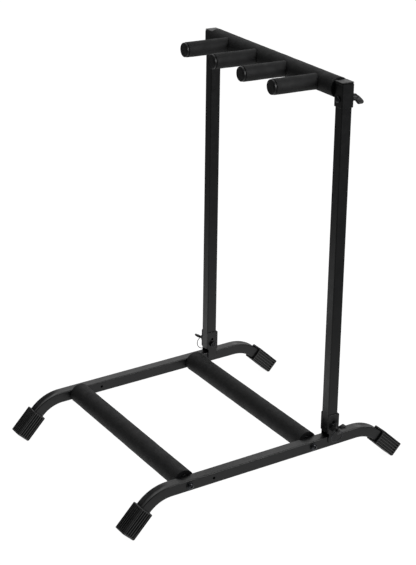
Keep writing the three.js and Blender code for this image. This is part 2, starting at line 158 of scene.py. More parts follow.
SIDE = centre_mm("right_side_rail").x
RAIL_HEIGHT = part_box("right_side_rail")[1].z / MM - TUBE / 2
FRONT_BAR_Y = centre_mm("front_bar_tube").y
REAR_BAR_Y = centre_mm("rear_bar_tube").y
SPARE_HOLE_Y = -106.0
INNER_FACE = SIDE - TUBE / 2
SLEEVE_INNER_FACE = SIDE - SLEEVE / 2

up = Vector(joints["yoke_lift"]["axis"]).normalized()
hinge = Vector(joints["upright_fold"]["pos_m"]) / MM
LEANING = Matrix.Translation(hinge - HINGE_RISE * up) @ Matrix.Rotation(-math.atan2(up.y, up.z), 4, "X")


# ---------------- mesh tools


def move(x=0.0, y=0.0, z=0.0):
    return Matrix.Translation((x, y, z))


def turn(degrees, axis):
    return Matrix.Rotation(math.radians(degrees), 4, axis)


def loft(rings, cyclic=False):
    """Vertices and faces through rings of equal length; open ends are closed with a fan."""
    count = len(rings[0])
    vertices = [Vector(point) for ring in rings for point in ring]
    faces = []
    for i in range(len(rings) if cyclic else len(rings) - 1):
        a = i * count
        b = (i + 1) % len(rings) * count
        for k in range(count):
            n = (k + 1) % count
            faces.append((a + k, a + n, b + n, b + k))
    if not cyclic:
        for base in (0, (len(rings) - 1) * count):
            ring = vertices[base : base + count]
            vertices.append(sum(ring, Vector()) / count)
            middle = len(vertices) - 1
            for k in range(count):
                faces.append((base + k, base + (k + 1) % count, middle))
    return vertices, faces


def fillet(points, radii, steps=4, closed=False):
    """A 2D outline with its corners rounded; radii is one number for all corners or one for each."""
    count = len(points)
    if not isinstance(radii, (list, tuple)):
        radii = [radii] * count
    smooth = []
    for i, point in enumerate(points):
        here = Vector(point)
        radius = radii[i]
        if radius <= 0 or (not closed and i in (0, count - 1)):
            smooth.append(here)
            continue
        before = Vector(points[i - 1]) - here
        after = Vector(points[(i + 1) % count]) - here
        reach = min(radius, before.length * 0.48, after.length * 0.48)
        start = here + before.normalized() * reach
        end = here + after.normalized() * reach
        for step in range(steps + 1):
            t = step / steps
            smooth.append(start * (1 - t) ** 2 + here * 2 * t * (1 - t) + end * t * t)
    return smooth


def ring_points(radius, height, segments):
    angles = [2 * math.pi * k / segments for k in range(segments)]
    return [Vector((radius * math.cos(a), radius * math.sin(a), height)) for a in angles]


def turned(profile, segments=48, hollow=False):
    """A [radius, height] profile turned about Z: solid with flat ends, or hollow when it closes on itself."""
    return loft([ring_points(radius, height, segments) for radius, height in profile], cyclic=hollow)


def hollow_profile(outer, inner, low, high, edge):
    corners = [(outer, low), (outer, high), (inner, high), (inner, low)]
    return fillet(corners, edge, steps=3, closed=True)


def rounded_square(width, corner, arc=5, flat=6, sunk=None):
    """Points of a rounded square, in order; sunk(step) is how far a point of a flat lies below its face."""
    inner = width / 2 - corner
    points = []
    for quarter in range(4):
        start = quarter * math.pi / 2
        cx = inner * (1 if quarter in (0, 3) else -1)
        cy = inner * (1 if quarter in (0, 1) else -1)
        for step in range(arc + 1):
            angle = start + math.pi / 2 * step / arc
            points.append(Vector((cx + corner * math.cos(angle), cy + corner * math.sin(angle))))
        along = Vector((-math.sin(start + math.pi / 2), math.cos(start + math.pi / 2)))
        outward = Vector((math.cos(start + math.pi / 2), math.sin(start + math.pi / 2)))
        last = points[-1]
        for step in range(1, flat + 1):
            point = last + along * (2 * inner * step / (flat + 1))
            points.append(point - outward * sunk(step) if sunk else point)
    return points


def straight_tube(width, wall, corner, low, high, edge=0.25):
    """Square tube along Z with softened cut ends."""
    outer = rounded_square(width, corner)
    inner = rounded_square(width - 2 * wall, max(corner - wall, 0.5))
    shrink = (width - 2 * edge) / width
    grow = (width - 2 * wall + 2 * edge) / (width - 2 * wall)
    levels = [
        (outer, shrink, low),
        (outer, 1, low + edge),
        (outer, 1, high - edge),
        (outer, shrink, high),
        (inner, grow, high),
        (inner, 1, high - edge),
        (inner, 1, low + edge),
        (inner, grow, low),
    ]
    rings = [[Vector((p.x * k, p.y * k, z)) for p in profile] for profile, k, z in levels]
    return loft(rings, cyclic=True)


def new_object(name, data):
    obj = bpy.data.objects.new(name, data)
    bpy.context.scene.collection.objects.link(obj)
    return obj


def shape(mesh_data, matrix=Matrix()):
    """A loose mesh object, still in millimetres."""
    vertices, faces = mesh_data
    mesh = bpy.data.meshes.new("shape")
    mesh.from_pydata([matrix @ Vector(v) for v in vertices], [], faces)
    obj = new_object("shape", mesh)
    face_outwards(obj)
    return obj


def face_outwards(obj):
    bm = bmesh.new()
    bm.from_mesh(obj.data)
    bmesh.ops.remove_doubles(bm, verts=bm.verts, dist=1e-4)
    bmesh.ops.recalc_face_normals(bm, faces=bm.faces)
    bm.to_mesh(obj.data)
    bm.free()


def bake(obj):
    """Applies all modifiers."""
    bpy.context.view_layer.update()
    graph = bpy.context.evaluated_depsgraph_get()
    mesh = bpy.data.meshes.new_from_object(obj.evaluated_get(graph))
    obj.modifiers.clear()
    obj.data = mesh


def combine(operation, obj, tools):
    """Boolean of obj with the tools, which are used up."""
    for tool in tools:
        modifier = obj.modifiers.new("bool", "BOOLEAN")
        modifier.operation = operation
        modifier.solver = "EXACT"
        modifier.object = tool
    bake(obj)
    for tool in tools:
        bpy.data.objects.remove(tool)
    return obj


def cut(obj, *tools):
    return combine("DIFFERENCE", obj, tools)


def unite(obj, *tools):
    return combine("UNION", obj, tools)


def gather(obj, *others):
    """Puts closed shells into one object without a boolean."""
    bm = bmesh.new()
    bm.from_mesh(obj.data)
    for other in others:
        bm.from_mesh(other.data)
        bpy.data.objects.remove(other)
    bm.to_mesh(obj.data)
    bm.free()
    return obj


def drill(diameter, length, matrix, segments=32):
    profile = [(diameter / 2, -length / 2), (diameter / 2, length / 2)]
    return shape(turned(profile, segments), matrix)


def plate(outline, holes, thickness, bevel):
    """A flat plate in the XY plane, middle at z = 0, with round edges; holes are (x, y, diameter)."""
    curve = bpy.data.curves.new("plate", "CURVE")
    curve.dimensions = "2D"
    curve.fill_mode = "BOTH"
    curve.extrude = thickness / 2 - bevel
    curve.bevel_depth = bevel
    curve.bevel_resolution = 2
    curve.offset = -bevel
    loops = [outline]
    for x, y, diameter in holes:
        loops.append([Vector((p.x + x, p.y + y)) for p in ring_points(diameter / 2, 0, 28)])
    for loop in loops:
        spline = curve.splines.new("POLY")
        spline.points.add(len(loop) - 1)
        for point, at in zip(spline.points, loop):
            point.co = (at[0], at[1], 0, 1)
        spline.use_cyclic_u = True
    obj = new_object("plate", curve)
    bpy.context.view_layer.update()
    mesh = bpy.data.meshes.new_from_object(obj.evaluated_get(bpy.context.evaluated_depsgraph_get()))
    bpy.data.objects.remove(obj)
    result = new_object("plate", mesh)
    face_outwards(result)
    return result


def fuse(obj, voxel, smoothing):
    """Melts overlapping solids into one moulded skin."""
    remesh = obj.modifiers.new("remesh", "REMESH")
    remesh.mode = "VOXEL"
    remesh.voxel_size = voxel
    smooth = obj.modifiers.new("smooth", "SMOOTH")
    smooth.factor = 0.5
    smooth.iterations = smoothing
    bake(obj)
    return obj


def place(node, obj, matrix=Matrix(), sharp=38.0, weighted=True):
    """Makes obj the visible piece for a CAD node: metres, its slot's material and body."""
    obj.name = node + "_look"
    obj.data.name = obj.name
    obj.data.transform(Matrix.Scale(MM, 4) @ matrix)
    for polygon in obj.data.polygons:
        polygon.use_smooth = True
    obj.data.set_sharp_from_angle(angle=math.radians(sharp))
    if weighted:
        modifier = obj.modifiers.new("normals", "WEIGHTED_NORMAL")
        modifier.keep_sharp = True
    if not obj.data.materials:
        obj.data.materials.append(materials[slot_of[node]])
    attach(obj, body_of[node])
    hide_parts(node)
    return obj


# ---------------- materials


class Nodes:
    """A short way to write a material's node tree."""

    def __init__(self, name):
        self.material = bpy.data.materials.new(name)
        self.material.use_nodes = True
        self.tree = self.material.node_tree
        self.surface = self.tree.nodes["Principled BSDF"]
        self.position = self.add("ShaderNodeTexCoord").outputs["Object"]

    def add(self, kind, **settings):
        node = self.tree.nodes.new(kind)
        for key, value in settings.items():
            setattr(node, key, value)
        return node

    def link(self, source, target):
        self.tree.links.new(source, target)

    def feed(self, socket, value):
        if isinstance(value, (int, float, tuple)):
            socket.default_value = value
        else:
            self.link(value, socket)

    def noise(self, scale, detail=2.0, roughness=0.5):
        node = self.add("ShaderNodeTexNoise")
        node.inputs["Scale"].default_value = scale
        node.inputs["Detail"].default_value = detail
        node.inputs["Roughness"].default_value = roughness
        self.link(self.position, node.inputs["Vector"])
        return node.outputs["Fac"]

    def cells(self, scale):
        node = self.add("ShaderNodeTexVoronoi", feature="F1")
        node.inputs["Scale"].default_value = scale
        self.link(self.position, node.inputs["Vector"])
        return node.outputs["Distance"]

    def remap(self, value, low, high, to_low, to_high):
        node = self.add("ShaderNodeMapRange")
        for socket, number in zip(node.inputs[1:5], (low, high, to_low, to_high)):
            socket.default_value = number
        self.feed(node.inputs[0], value)
        return node.outputs[0]

    def math(self, operation, a, b):
        node = self.add("ShaderNodeMath", operation=operation)
        self.feed(node.inputs[0], a)
        self.feed(node.inputs[1], b)
        return node.outputs[0]

    def mix(self, factor, a, b):
        node = self.add("ShaderNodeMix", data_type="RGBA")
        self.feed(node.inputs[0], factor)
        self.feed(node.inputs[6], a)
        self.feed(node.inputs[7], b)
        return node.outputs[2]

    def between(self, value, low, high, dark, light):
        """Colour that goes from dark to light while value goes from low to high."""
        return self.mix(self.remap(value, low, high, 0, 1), (*dark, 1), (*light, 1))

    def edges(self, radius):
        """Near 1 on convex and concave edges, 0 on flats."""
        bevel = self.add("ShaderNodeBevel", samples=4)
        bevel.inputs["Radius"].default_value = radius
        flat = self.add("ShaderNodeNewGeometry").outputs["Normal"]
        dot = self.add("ShaderNodeVectorMath", operation="DOT_PRODUCT")
        self.link(bevel.outputs[0], dot.inputs[0])
        self.link(flat, dot.inputs[1])
        return self.remap(dot.outputs["Value"], 0.96, 0.8, 0.0, 1.0)

    def occlusion_shade(self, distance):
        """1 on open surfaces, less down in grooves and corners."""
        node = self.add("ShaderNodeAmbientOcclusion", samples=6)
        node.inputs["Distance"].default_value = distance
        return node.outputs["AO"]

    def facing_up(self):
        split = self.add("ShaderNodeSeparateXYZ")
        self.link(self.add("ShaderNodeNewGeometry").outputs["Normal"], split.inputs[0])
        return self.remap(split.outputs["Z"], 0.5, 1.0, 0.0, 1.0)

    def bump(self, *layers):
        """Layers of (height, strength, distance), the last one nearest the surface."""
        previous = None
        for height, strength, distance in layers:
            node = self.add("ShaderNodeBump")
            node.inputs["Strength"].default_value = strength
            node.inputs["Distance"].default_value = distance
            self.link(height, node.inputs["Height"])
            if previous:
                self.link(previous, node.inputs["Normal"])
            previous = node.outputs[0]
        self.link(previous, self.surface.inputs["Normal"])

    def finish(self, color, roughness, metallic=0.0, specular=0.5):
        """Fills in the surface; specular None leaves a link that is already there."""
        inputs = self.surface.inputs
        self.feed(inputs["Base Color"], color)
        self.feed(inputs["Roughness"], roughness)
        inputs["Metallic"].default_value = metallic
        if specular is not None:
            inputs["Specular IOR Level"].default_value = specular
        return self.material


def painted_tube():
    """Black powder coat: satin, orange peel, edges painted a little lighter in patches as a highlight, a
    trace of dust on top.
    """
    n = Nodes("painted_tube")
    patches = n.noise(28, 3)
    peel = n.noise(650, 2)
    grain = n.noise(2600, 2, 0.6)
    color = n.between(patches, 0.35, 0.65, (0.0025, 0.0027, 0.0033), (0.0045, 0.0047, 0.0054))
    # painted highlight: the edges lightened in patches, standing in for light catching them
    painted_edge_highlight = n.math("MULTIPLY", n.edges(0.0012), n.remap(n.noise(120, 4), 0.45, 0.7, 0, 0.35))
    color = n.mix(painted_edge_highlight, color, (0.045, 0.046, 0.048, 1))
    dust = n.math("MULTIPLY", n.facing_up(), n.remap(n.noise(300, 4, 0.65), 0.5, 0.8, 0, 0.10))
    color = n.mix(dust, color, (0.16, 0.155, 0.15, 1))
    roughness = n.remap(n.noise(90, 4), 0.3, 0.7, 0.27, 0.38)
    n.bump((peel, 0.12, 0.0003), (grain, 0.10, 0.00012))
    return n.finish(color, roughness)


def padding_foam():
    """Closed-cell foam sleeve: matt smooth skin with fine cells and faint handling marks."""
    n = Nodes("padding_foam")
    cells = n.cells(1900)
    speckle = n.noise(1500, 3, 0.6)
    patches = n.noise(35, 4)
    base = n.between(patches, 0.35, 0.65, (0.0055, 0.0057, 0.0061), (0.0088, 0.0090, 0.0096))
    color = n.mix(n.remap(speckle, 0.35, 0.7, 0, 0.45), base, (0.022, 0.0225, 0.024, 1))
    roughness = n.remap(n.noise(60, 3), 0.3, 0.7, 0.66, 0.78)
    n.bump((n.noise(160, 3), 0.10, 0.0008), (cells, 0.35, 0.00035), (speckle, 0.25, 0.0002))
    return n.finish(color, roughness)


def cut_foam():
    """Sawn end of a foam sleeve, with its cells laid open."""
    n = Nodes("cut_foam")
    cells = n.cells(1300)
    color = n.between(cells, 0.1, 0.6, (0.030, 0.031, 0.033), (0.007, 0.007, 0.008))
    n.bump((cells, 0.9, 0.0006))
    return n.finish(color, 0.95, specular=0.15)


def foot_rubber():
    """Black ribbed rubber, with scuffs near the floor and painted shade in the grooves, where occlusion turns
    the reflection down.
    """
    n = Nodes("foot_rubber")
    patches = n.noise(60, 4)
    grain = n.noise(1500, 3, 0.6)
    color = n.between(patches, 0.3, 0.7, (0.0035, 0.0036, 0.0038), (0.0060, 0.0061, 0.0064))
    split = n.add("ShaderNodeSeparateXYZ")
    n.link(n.position, split.inputs[0])
    low = n.remap(split.outputs["Z"], 0.001, 0.014, 1, 0)
    scuff = n.math("MULTIPLY", low, n.remap(n.noise(420, 4, 0.7), 0.4, 0.7, 0, 0.5))
    color = n.mix(scuff, color, (0.06, 0.058, 0.055, 1))
    roughness = n.remap(n.noise(200, 4), 0.3, 0.7, 0.34, 0.48)
    n.bump((grain, 0.22, 0.0002))
    # painted shade: ambient occlusion turns the reflection down in the grooves between the ribs
    n.link(n.remap(n.occlusion_shade(0.004), 0.5, 0.9, 0.05, 1.0), n.surface.inputs["Specular IOR Level"])
    return n.finish(color, roughness, specular=None)


def moulded_plastic():
    """Black injection-moulded plastic with a fine spark-eroded texture."""
    n = Nodes("moulded_plastic")
    grain = n.noise(3200, 2, 0.5)
    color = n.between(n.noise(70, 3), 0.35, 0.65, (0.0060, 0.0061, 0.0066), (0.0090, 0.0092, 0.0099))
    worn = n.math("MULTIPLY", n.edges(0.0006), n.remap(n.noise(260, 4), 0.45, 0.7, 0, 0.3))
    color = n.mix(worn, color, (0.07, 0.07, 0.073, 1))
    roughness = n.remap(n.noise(150, 4), 0.3, 0.7, 0.34, 0.48)
    n.bump((grain, 0.18, 0.00012))
    return n.finish(color, roughness)


def black_zinc():
    """Black-passivated fasteners: dark metal with slightly mottled gloss and a painted highlight along every
    edge.
    """
    n = Nodes("black_zinc")
    mottle = n.noise(380, 4, 0.6)
    color = n.between(mottle, 0.35, 0.65, (0.035, 0.036, 0.04), (0.07, 0.072, 0.078))
    # painted highlight: every edge lightened towards grey metal
    bright = n.math("MULTIPLY", n.edges(0.0005), 0.6)
    color = n.mix(bright, color, (0.35, 0.35, 0.36, 1))
    roughness = n.remap(mottle, 0.3, 0.7, 0.2, 0.34)
    n.bump((n.noise(1800, 3), 0.08, 0.0001))
    return n.finish(color, roughness, metallic=0.9)


def bright_zinc():
    """Bright zinc plating with a faint bluish bloom and drawn-wire streaks."""
    n = Nodes("bright_zinc")
    bloom = n.noise(240, 4, 0.6)
    color = n.between(bloom, 0.35, 0.65, (0.50, 0.51, 0.54), (0.64, 0.64, 0.63))
    roughness = n.remap(bloom, 0.3, 0.7, 0.22, 0.38)
    n.bump((n.noise(2400, 3), 0.1, 0.0001))
    return n.finish(color, roughness, metallic=1.0)


materials = {
    "painted_tube": painted_tube(),
    "padding_foam": padding_foam(),
    "foot_rubber": foot_rubber(),
    "moulded_plastic": moulded_plastic(),
    "black_zinc": black_zinc(),
    "bright_zinc": bright_zinc(),
}
cut_foam_material = cut_foam()

# ---------------- side rails


def rail_path():
    """Centre line from the front foot to the rear one: (y, z, slope angle, sinking, swelling)."""
    tangent = BEND_RADIUS * math.tan(FOOT_DROP / 2)
    bend_y = FOOT_REACH - tangent
    tip = FOOT_LENGTH * math.cos(FOOT_DROP)
    half = []
    for step in range(7):
        y = bend_y * step / 6
        half.append((y, RAIL_HEIGHT, 0.0, 0.0, 0.0))
    steps = 22
    for step in range(steps + 1):
        share = step / steps
        angle = FOOT_DROP * share
        y = bend_y + BEND_RADIUS * math.sin(angle)
        z = RAIL_HEIGHT - BEND_RADIUS * (1 - math.cos(angle))
        onset = min(1.0, share / 0.4)
        half.append((y, z, angle, onset * onset * (3 - 2 * onset), math.sin(math.pi * share) ** 1.5))
    half.append((FOOT_REACH + tip, RAIL_HEIGHT - tip, FOOT_DROP, 0.0, 0.0))
    path = []
    for point in half:
        if not path or abs(path[-1][0] - point[0]) > 0.01:
            path.append(point)
    back = [(-y, z, -angle, sink, swell) for y, z, angle, sink, swell in reversed(path[1:])]
    return back + path


def rail_ring(profile, half, at):
    """Square section across the path; in a bend the outer face sinks to a crease and the sides swell."""
    y, z, angle, sink, swell = at
    points = []
    for p in profile:
        across, out = p.x, p.y
        if out > half - 0.1:
            out -= BEND_CREASE * sink * max(0.0, 1 - abs(across) / half) ** 1.15
        elif out < 0.1 - half:
            out += BEND_SWELL * swell * max(0.0, 1 - (across / half) ** 2)
        elif abs(across) > half - 0.1:
            across += math.copysign(BEND_SWELL * swell * max(0.0, 1 - (out / half) ** 2), across)
        points.append(Vector((across, y + out * math.sin(angle), z + out * math.cos(angle))))
    return points


def side_rail(side_name, side):
    outer = rounded_square(TUBE, TUBE_CORNER, arc=5, flat=8)
    inner = rounded_square(TUBE - 2 * TUBE_WALL, 0.6, arc=5, flat=8)
    path = rail_path()
    half = TUBE / 2
    rings = [rail_ring(outer, half, at) for at in path]
    rings += [rail_ring(inner, half - TUBE_WALL, at) for at in reversed(path)]
    rail = shape(loft(rings, cyclic=True), move(side * SIDE))
    holes = [(FRONT_BAR_Y, BOLT_HOLE), (REAR_BAR_Y, BOLT_HOLE), (SPARE_HOLE_Y, SPARE_HOLE)]
    for y, diameter in holes:
        cut(rail, drill(diameter, 3 * TUBE, move(side * SIDE, y, RAIL_HEIGHT) @ turn(90, "Y")))
    place(f"{side_name}_side_rail", rail)


# ---------------- rubber feet


def ribbed_square(width, corner, rib_depth):
    """Rounded square whose flats carry flat-topped ribs with wide grooves between them."""
    per_rib = 10

    def groove(step):
        phase = step / per_rib % 1.0
        sunk = CAP_GROOVE_SLOPE * abs(2 * phase - 1) - CAP_GROOVE_START
        return rib_depth * min(1.0, max(0.0, sunk))

    return rounded_square(width, corner, arc=6, flat=CAP_RIBS * per_rib - 1, sunk=groove)


def foot_cap(node, side, end):
    bore = TUBE + 2 * GAP
    lip = 1.2
    # height above the mouth, width, depth of the grooves
    levels = [
        (0.0, bore + 1.6, 0.0),
        (0.0, CAP_WIDTH - 1.6, 0.0),
        (0.25, CAP_WIDTH - 0.8, 0.0),
        (0.8, CAP_WIDTH, 0.0),
        (lip + 0.6, CAP_WIDTH, 0.0),
        (lip + 1.4, CAP_WIDTH, CAP_RIB_DEPTH),
        (CAP_LENGTH - 3.6, CAP_WIDTH, CAP_RIB_DEPTH),
        (CAP_LENGTH - 2.7, CAP_WIDTH, 0.0),
        (CAP_LENGTH - 0.9, CAP_WIDTH, 0.0),
        (CAP_LENGTH - 0.3, CAP_WIDTH - 0.5, 0.0),
        (CAP_LENGTH, CAP_WIDTH - 1.6, 0.0),
    ]
    rings = []
    pocket = CAP_LENGTH - CAP_END
    for z, width, depth in [(pocket, bore, 0.0), (1.4, bore, 0.0)] + levels:
        corner = CAP_CORNER if width > bore + 2 else TUBE_CORNER
        rings.append([Vector((p.x, p.y, z)) for p in ribbed_square(width, corner, depth)])
    reach = FOOT_LENGTH + CAP_END + GAP - CAP_LENGTH
    matrix = (
        move(side * SIDE, end * FOOT_REACH, RAIL_HEIGHT)
        @ Matrix.Rotation(-end * (math.pi - FOOT_DROP), 4, "X")
        @ move(z=reach)
    )
    cap = shape(loft(rings), matrix)
    for vertex in cap.data.vertices:
        vertex.co.z = max(vertex.co.z, 0.0)
    place(node, cap, sharp=50, weighted=False)


# ---------------- foam and round tubes


def ripple(point, amount):
    """Slow unevenness of a foam skin."""
    return amount * (noise.noise(point / 22.0) + 0.5 * noise.noise(point / 7.0 + Vector((9, 4, 2))))


def round_tube(node, outer, inner, low, high, matrix, segments=48):
    place(node, shape(turned(hollow_profile(outer / 2, inner / 2, low, high, 0.35), segments, True), matrix))


def mark_cut_ends(obj, axis):
    """Gives the faces square to the axis the sawn-foam material."""
    obj.data.materials.append(materials["padding_foam"])
    obj.data.materials.append(cut_foam_material)
    for polygon in obj.data.polygons:
        if abs(polygon.normal.dot(axis)) > 0.75:
            polygon.material_index = 1


def bar_foam(node, outer, inner, length, matrix, dents=()):
    """Foam sleeve along its own Z, swelling slightly where its ends are pressed home."""
    segments = 72
    half = length / 2
    radius = outer / 2
    lip = 1.3
    stations = [-half + lip * (1 - math.cos(math.pi / 2 * k / 5)) for k in range(1, 6)]
    count = int(length / 3)
    inner_stations = [-half + lip + (length - 2 * lip) * k / count for k in range(1, count)]
    mirrored = [-z for z in reversed(stations)]
    rings = []
    for z in stations + inner_stations + mirrored:
        edge = half - abs(z)
        rounding = 0.0
        if edge < lip:
            rounding = lip - math.sqrt(max(0.0, lip * lip - (lip - edge) ** 2))
        swell = FOAM_SWELL * math.exp(-edge / 5.0)
        ring = []
        for p in ring_points(1.0, z, segments):
            seen = matrix @ Vector((p.x * radius, p.y * radius, z))
            r = radius + swell - rounding + ripple(seen, 0.22)
            for dent in dents:
                r -= dent(p.x, p.y, z)
            ring.append(Vector((p.x * r, p.y * r, z)))
        rings.append(ring)
    face = radius - lip
    bore = inner / 2
    rings.append(ring_points(face, half, segments))
    rings.append(ring_points(bore + 0.5, half, segments))
    rings.append(ring_points(bore, half - 0.8, segments))
    rings.append(ring_points(bore, 0.8 - half, segments))
    rings.append(ring_points(bore + 0.5, -half, segments))
    rings.append(ring_points(face, -half, segments))
    foam = shape(loft(rings, cyclic=True), matrix)
    mark_cut_ends(foam, (matrix.to_3x3() @ Vector((0, 0, 1))).normalized())
    place(node, foam, sharp=60, weighted=False)


def cross_bar(name, y):
    along_x = move(0, y, RAIL_HEIGHT) @ turn(90, "Y")
    length = 2 * (INNER_FACE - GAP)
    bore = BAR_TUBE - 2 * TUBE_WALL
    round_tube(f"{name}_tube", BAR_TUBE, bore, -length / 2, length / 2, along_x)
    bar_foam(f"{name}_foam", BAR_FOAM, BAR_TUBE + 2 * GAP, length - 0.4, along_x)
    for side_name, side in SIDES.items():
        outwards = move(0, y, RAIL_HEIGHT) @ turn(90 * side, "Y")
        threaded_insert(f"{name}_{side_name}_insert", bore / 2 - GAP, length / 2, outwards)
        bar_bolt(f"{name}_{side_name}", outwards)


def threaded_insert(node, radius, end, matrix):
    """Steel bush with pressed-in ridges, flush with the end of the bar's tube."""
    length = 14.0
    outer = []
    for k in range(9):
        z = end - length + length * k / 8
        outer.append((radius - (0.5 if k % 2 else 0.0), z))
    hole = BOLT / 2 + GAP
    bore = [(hole + 0.4, end), (hole, end - 0.5), (hole, end - length + 0.5), (hole + 0.4, end - length)]
    profile = outer + bore
    place(node, shape(turned(profile, 40, True), matrix))


def thread(radius, low, high, pitch=1.0):
    """Profile of a threaded length: crests and roots from low to high."""
    points = []
    turns = max(1, int((high - low) / pitch))
    for k in range(turns):
        z = low + k * pitch
        points.append((radius - 0.45, z))
        points.append((radius, z + pitch * 0.4))
        points.append((radius, z + pitch * 0.6))
    points.append((radius - 0.45, low + turns * pitch))
    return points


def dome(radius, rim, rise, squeeze):
    """Profile of a domed head from its rim upwards; squeeze below 1 leaves a small flat on top."""
    points = []
    for k in range(9):
        angle = math.pi / 2 * k / 8
        points.append((radius * math.cos(angle * squeeze), rim + rise * math.sin(angle)))
    return points


def washer(face, thickness):
    return turned(hollow_profile(WASHER / 2, BOLT / 2 + GAP, face, face + thickness, 0.3), 48, True)


def bar_bolt(name, matrix):
    """Domed bolt with a hexagonal socket, and its washer."""
    washer_face = SIDE + TUBE / 2 + GAP
    thickness = 1.4
    head_face = washer_face + thickness + GAP
    head_radius = 5.6
    head_height = 3.8
    rim = 0.9
    socket_width = 4.2
    socket_depth = 2.4
    tip = INNER_FACE - 12.0
    profile = thread(BOLT / 2, tip, INNER_FACE)
    profile += [(BOLT / 2, INNER_FACE), (BOLT / 2, head_face), (head_radius - 0.2, head_face)]
    profile += [(head_radius, head_face + 0.3)]
    profile += dome(head_radius, head_face + rim, head_height - rim, 0.96)
    bolt = shape(turned(profile, 48), matrix)
    cut(bolt, drill(socket_width, 2 * socket_depth, matrix @ move(z=head_face + head_height), segments=6))
    place(f"{name}_bolt", bolt)
    place(f"{name}_washer", shape(washer(washer_face, thickness), matrix))


# ---------------- hinge brackets


def cheek_outline():
    """One cheek, as (y, z) in the leaning frame."""
    front = -TUBE / 2
    back = TUBE / 2 + GAP + BRACKET_PLATE
    step = 2.0
    step_rise = 17.0
    corners = [
        (front + step, -2.0, 1.0),
        (back - step, -2.0, 1.0),
        (back - step, step_rise - 3.5, 1.5),
        (back, step_rise, 1.5),
        (back, BRACKET_TOP, 0.8),
        (front, BRACKET_TOP, 1.6),
        (front, step_rise, 3.2),
        (front + step, step_rise - 1.0, 1.0),
    ]
    return fillet([(y, z) for y, z, _ in corners], [r for _, _, r in corners], closed=True)


def weld(points, radius, seed):
    """A rippled bead between two points, as a closed shell."""
    start, end = Vector(points[0]), Vector(points[1])
    along = (end - start).normalized()
    across = along.orthogonal().normalized()
    other = along.cross(across)
    length = (end - start).length
    steps = max(6, int(length / 0.5))
    rings = []
    for k in range(steps + 1):
        share = k / steps
        at = start + along * (length * share)
        taper = math.sqrt(max(0.02, 1 - abs(2 * share - 1) ** 6))
        beat = 0.13 * math.cos(2 * math.pi * share * length / 1.7)
        pulse = 1 + beat + 0.12 * noise.noise(at + Vector((seed, 0, 0)))
        r = radius * taper * pulse
        ring = []
        for s in range(12):
            a = 2 * math.pi * s / 12
            ring.append(at + across * (r * math.cos(a)) + other * (r * math.sin(a)))
        rings.append(ring)
    return shape(loft(rings))


def hinge_bracket(side_name, side):
    half = BRACKET_WIDTH / 2
    back = TUBE / 2 + GAP
    web_bottom = HINGE_RISE + 12.0
    to_yz = Matrix(((0, 0, 1, 0), (1, 0, 0, 0), (0, 1, 0, 0), (0, 0, 0, 1)))
    holes = [(0, HINGE_RISE, BOLT_HOLE), (0, LOCK_HOLE_RISE, SPARE_HOLE)]
    cheeks = []
    for direction in (-1, 1):
        cheek = plate(cheek_outline(), holes, BRACKET_PLATE, 0.35)
        cheek.data.transform(move(direction * (half - BRACKET_PLATE / 2)) @ to_yz)
        cheeks.append(cheek)
    height = BRACKET_TOP - web_bottom
    corners = [(-half, -height / 2), (half, -height / 2), (half, height / 2), (-half, height / 2)]
    web = plate(fillet(corners, 0.8, closed=True), [], BRACKET_PLATE, 0.35)
    to_xz = Matrix(((1, 0, 0, 0), (0, 0, 1, 0), (0, 1, 0, 0), (0, 0, 0, 1)))
    web.data.transform(move(0, back + BRACKET_PLATE / 2, web_bottom + height / 2) @ to_xz)
    for part in cheeks + [web]:
        face_outwards(part)
    bracket = unite(cheeks[0], cheeks[1], web)
    beads = []
    for direction in (-1, 1):
        x = direction * (half - BRACKET_PLATE + 0.2)
        for y, seed in ((-TUBE / 2 + 1.8, 3), (back + BRACKET_PLATE - 1.8, 8)):
            beads.append(weld([(x, y, -1.0), (x, y, TUBE / 2 - 0.5)], 1.25, seed + 5 * direction))
    gather(bracket, *beads)
    place(f"{side_name}_hinge_bracket", bracket, LEANING @ move(side * SIDE))


# ---------------- wing screws, wing nuts and their bolts


def wing_outline(pull, heel_z):
    """The one wing, as (x, z) with the screw's axis along z; its top edge bends towards the point pull."""
    heel = Vector((-WING_HEEL, heel_z))
    toe = Vector((WING_REACH - WING_TOE, WING_FOOT + WING_TOE))
    corner = Vector((WING_REACH - WING_CORNER, WING_HEIGHT - WING_CORNER))
    points = [Vector((-WING_HEEL, WING_ROOT)), Vector((WING_HEEL, WING_ROOT)), Vector((WING_SHIN, WING_FOOT))]
    for k in range(6):
        angle = math.pi / 2 * (k / 5 - 1)
        points.append(toe + WING_TOE * Vector((math.cos(angle), math.sin(angle))))
    for k in range(9):
        angle = math.pi / 2 * k / 8
        points.append(corner + WING_CORNER * Vector((math.cos(angle), math.sin(angle))))
    crown = points[-1]
    for k in range(1, 13):
        t = k / 12
        points.append(crown * (1 - t) ** 2 + Vector(pull) * 2 * t * (1 - t) + heel * t * t)
    return points


